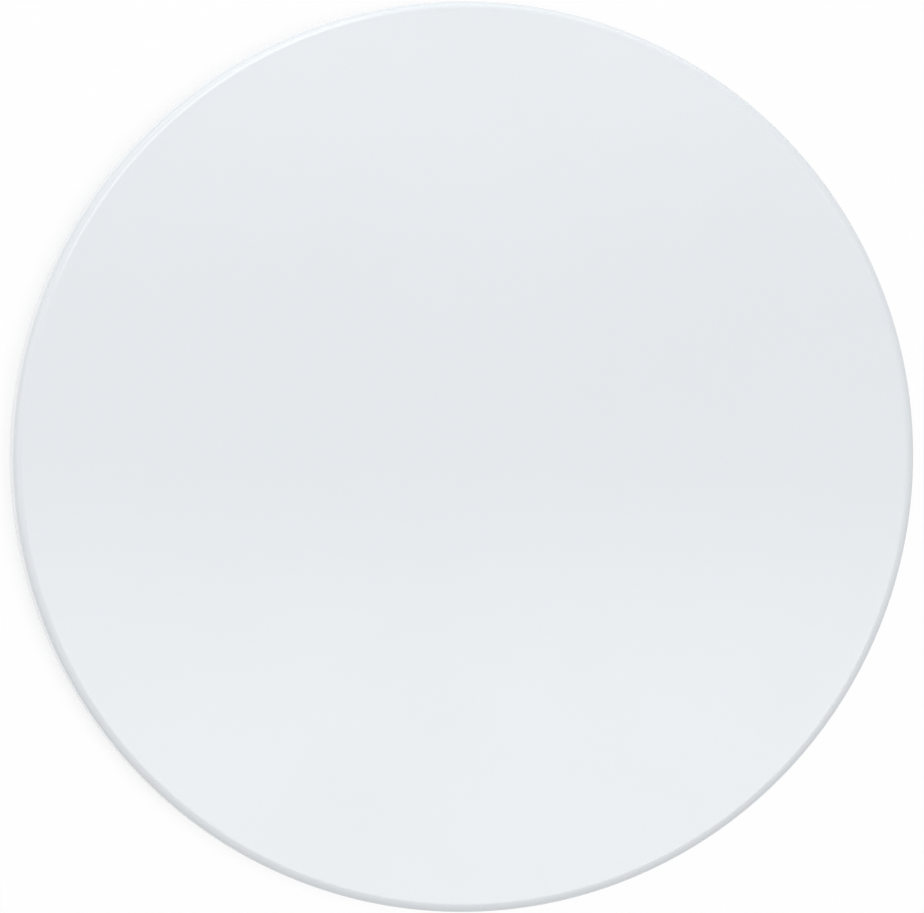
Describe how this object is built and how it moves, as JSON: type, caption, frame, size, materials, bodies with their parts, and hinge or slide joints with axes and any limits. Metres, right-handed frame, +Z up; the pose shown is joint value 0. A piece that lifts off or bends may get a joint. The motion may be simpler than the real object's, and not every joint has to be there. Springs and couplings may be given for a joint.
{
  "type": "lazy susan turntable",
  "caption": "Round white lacquered serving board that spins on a caged ball bearing over a smaller round base with rubber feet.",
  "frame": {"origin": "middle of the plane that the four rubber feet stand on", "axes": "+Z up along the axis the board spins about; +X towards the first foot"},
  "size_m": [0.4, 0.4, 0.0456],
  "materials": {
    "white_lacquer": "sprayed white satin lacquer on board",
    "zinc_plated_steel": "zinc plated pressed sheet",
    "eyelet_steel": "zinc plated, rolled over",
    "bearing_steel": "ground and polished",
    "cage_plastic": "moulded natural nylon",
    "washer_plastic": "stamped acetal sheet",
    "foot_rubber": "moulded dark grey rubber",
    "screw_steel": "bright zinc plated"
  },
  "bodies": {
    "base": {"base_board": "white_lacquer", "lower_race_plate": "zinc_plated_steel", "centre_eyelet": "eyelet_steel", "base_screw_1": "screw_steel", "base_screw_2": "screw_steel", "base_screw_3": "screw_steel", "base_screw_4": "screw_steel", "rubber_foot_1": "foot_rubber", "rubber_foot_2": "foot_rubber", "rubber_foot_3": "foot_rubber", "rubber_foot_4": "foot_rubber", "foot_washer_1": "screw_steel", "foot_washer_2": "screw_steel", "foot_washer_3": "screw_steel", "foot_washer_4": "screw_steel", "foot_screw_1": "screw_steel", "foot_screw_2": "screw_steel", "foot_screw_3": "screw_steel", "foot_screw_4": "screw_steel"},
    "turntable": {"turntable_board": "white_lacquer", "upper_race_plate": "zinc_plated_steel", "slip_washer": "washer_plastic", "board_screw_1": "screw_steel", "board_screw_2": "screw_steel", "board_screw_3": "screw_steel", "board_screw_4": "screw_steel"},
    "ball_ring": {"ball_cage": "cage_plastic", "bearing_balls": "bearing_steel"}
  },
  "joints": [
    {"name": "turntable_spin", "type": "hinge", "parent": "base", "child": "turntable", "pos_m": [0, 0, 0.0233], "axis": [0, 0, 1], "continuous": true},
    {"name": "ball_ring_spin", "type": "hinge", "parent": "base", "child": "ball_ring", "pos_m": [0, 0, 0.0233], "axis": [0, 0, 1], "continuous": true}
  ],
  "couplings": [
    {"joint": "ball_ring_spin", "follows": "turntable_spin", "ratio": 0.5}
  ]
}
